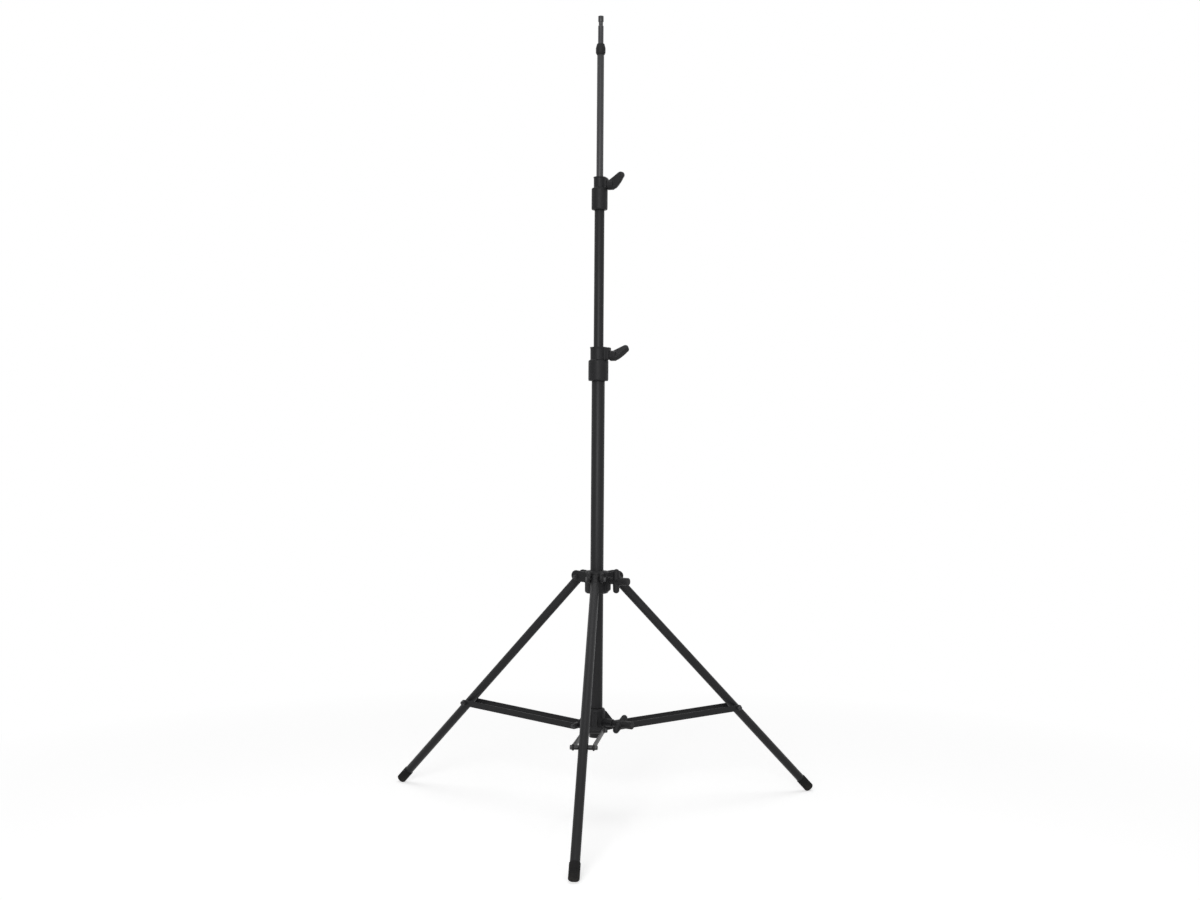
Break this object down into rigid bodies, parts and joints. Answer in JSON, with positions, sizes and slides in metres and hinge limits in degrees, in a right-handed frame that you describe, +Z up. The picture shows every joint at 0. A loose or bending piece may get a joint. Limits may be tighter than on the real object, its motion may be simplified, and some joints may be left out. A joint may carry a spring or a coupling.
{
  "type": "folding light stand",
  "caption": "Folding light stand: telescoping column with clamping levers and a stand pin, on splayed double-braced legs with rubber feet.",
  "frame": {"origin": "on the floor, midway between the outermost edges of the feet; the column stands behind it, at y = 0.182 m", "axes": "+Z up along the column, -Y towards the single front leg, +X towards the clamping levers"},
  "size_m": [1.2964, 1.1268, 2.3],
  "materials": {
    "anodised_black": "black anodised, satin",
    "anodised_grey": "dark grey anodised, satin",
    "cast_black": "die casting, black powder coat",
    "strap_black": "steel strap, black paint",
    "steel_dark": "steel, dark plating",
    "bolt_black": "steel, black oxide",
    "moulded_black": "moulded nylon, black",
    "rubber_black": "black rubber, matte",
    "nylon_grey": "nylon, grey"
  },
  "bodies": {
    "column": {"base_tube": "anodised_black", "base_collar": "cast_black", "base_bushing": "nylon_grey", "base_collar_pin": "bolt_black", "base_brake_pad": "nylon_grey", "lower_casting": "cast_black", "column_plug": "moulded_black", "column_buffer": "rubber_black"},
    "hub": {"hub_casting": "cast_black", "hub_bushing": "nylon_grey", "hub_pivot_bolt_1": "bolt_black", "hub_pivot_bolt_2": "bolt_black", "hub_pivot_bolt_3": "bolt_black"},
    "leg_1": {"leg_1_tube": "anodised_black", "leg_1_fitting": "cast_black", "leg_1_brace_pin": "bolt_black", "leg_1_foot": "rubber_black"},
    "leg_2": {"leg_2_tube": "anodised_black", "leg_2_fitting": "cast_black", "leg_2_brace_pin": "bolt_black", "leg_2_foot": "rubber_black"},
    "leg_3": {"leg_3_tube": "anodised_black", "leg_3_fitting": "cast_black", "leg_3_brace_pin": "bolt_black", "leg_3_foot": "rubber_black"},
    "brace_1": {"brace_1_strap_left": "strap_black", "brace_1_strap_right": "strap_black", "brace_1_lower_bolt": "bolt_black", "brace_1_upper_head": "bolt_black", "brace_1_upper_nut": "bolt_black"},
    "brace_2": {"brace_2_strap_left": "strap_black", "brace_2_strap_right": "strap_black", "brace_2_lower_bolt": "bolt_black", "brace_2_upper_head": "bolt_black", "brace_2_upper_nut": "bolt_black"},
    "brace_3": {"brace_3_strap_left": "strap_black", "brace_3_strap_right": "strap_black", "brace_3_lower_bolt": "bolt_black", "brace_3_upper_head": "bolt_black", "brace_3_upper_nut": "bolt_black"},
    "mid_riser": {"mid_tube": "anodised_black", "mid_guide": "nylon_grey", "mid_collar": "cast_black", "mid_collar_pin": "bolt_black", "mid_bushing": "nylon_grey", "mid_brake_pad": "nylon_grey"},
    "top_riser": {"top_tube": "anodised_grey", "top_guide": "nylon_grey", "baby_pin": "steel_dark", "spigot_roll_pin": "steel_dark"},
    "base_lever": {"base_lever_handle": "moulded_black", "base_lever_stud": "bolt_black"},
    "mid_lever": {"mid_lever_handle": "moulded_black", "mid_lever_stud": "bolt_black"},
    "hub_knob": {"hub_knob_bar": "moulded_black", "hub_knob_stud": "bolt_black"},
    "lower_knob": {"lower_knob_bar": "moulded_black", "lower_knob_stud": "bolt_black"}
  },
  "joints": [
    {"name": "hub_slide", "type": "slide", "parent": "column", "child": "hub", "axis": [0, 0, 1], "range_m": [0, 0.5454]},
    {"name": "leg_1_fold", "type": "hinge", "parent": "hub", "child": "leg_1", "pos_m": [0.05196, 0.21215, 0.679], "axis": [-0.5, 0.866, 0], "range_deg": [0, 41.25]},
    {"name": "leg_2_fold", "type": "hinge", "parent": "hub", "child": "leg_2", "pos_m": [-0.05196, 0.21215, 0.679], "axis": [-0.5, -0.866, 0], "range_deg": [0, 41.25]},
    {"name": "leg_3_fold", "type": "hinge", "parent": "hub", "child": "leg_3", "pos_m": [0, 0.12215, 0.679], "axis": [1, 0, 0], "range_deg": [0, 41.25]},
    {"name": "brace_1_fold", "type": "hinge", "parent": "column", "child": "brace_1", "pos_m": [0.05023, 0.21115, 0.2485], "axis": [0.5, -0.866, 0], "range_deg": [0, 80.14]},
    {"name": "brace_2_fold", "type": "hinge", "parent": "column", "child": "brace_2", "pos_m": [-0.05023, 0.21115, 0.2485], "axis": [0.5, 0.866, 0], "range_deg": [0, 80.14]},
    {"name": "brace_3_fold", "type": "hinge", "parent": "column", "child": "brace_3", "pos_m": [0, 0.12415, 0.2485], "axis": [-1, 0, 0], "range_deg": [0, 80.14]},
    {"name": "mid_riser_slide", "type": "slide", "parent": "column", "child": "mid_riser", "axis": [0, 0, 1], "range_m": [-0.395, 0.45]},
    {"name": "top_riser_slide", "type": "slide", "parent": "mid_riser", "child": "top_riser", "axis": [0, 0, 1], "range_m": [-0.352, 0.5]},
    {"name": "base_lever_turn", "type": "hinge", "parent": "column", "child": "base_lever", "pos_m": [0, 0.18215, 1.319], "axis": [0.9613, -0.2756, 0], "range_deg": [0, 180]},
    {"name": "mid_lever_turn", "type": "hinge", "parent": "mid_riser", "child": "mid_lever", "pos_m": [0, 0.18215, 1.8115], "axis": [0.9613, -0.2756, 0], "range_deg": [0, 180]},
    {"name": "hub_knob_turn", "type": "hinge", "parent": "hub", "child": "hub_knob", "pos_m": [0, 0.18215, 0.6725], "axis": [0.866, -0.5, 0], "range_deg": [0, 360]},
    {"name": "lower_knob_turn", "type": "hinge", "parent": "column", "child": "lower_knob", "pos_m": [0, 0.18215, 0.265], "axis": [0.866, -0.5, 0], "range_deg": [0, 360]}
  ],
  "couplings": [
    {"joint": "leg_1_fold", "follows": "hub_slide", "rad_per_m": 1.3197},
    {"joint": "leg_2_fold", "follows": "hub_slide", "rad_per_m": 1.3197},
    {"joint": "leg_3_fold", "follows": "hub_slide", "rad_per_m": 1.3197},
    {"joint": "brace_1_fold", "follows": "hub_slide", "rad_per_m": 2.5642},
    {"joint": "brace_2_fold", "follows": "hub_slide", "rad_per_m": 2.5642},
    {"joint": "brace_3_fold", "follows": "hub_slide", "rad_per_m": 2.5642}
  ]
}
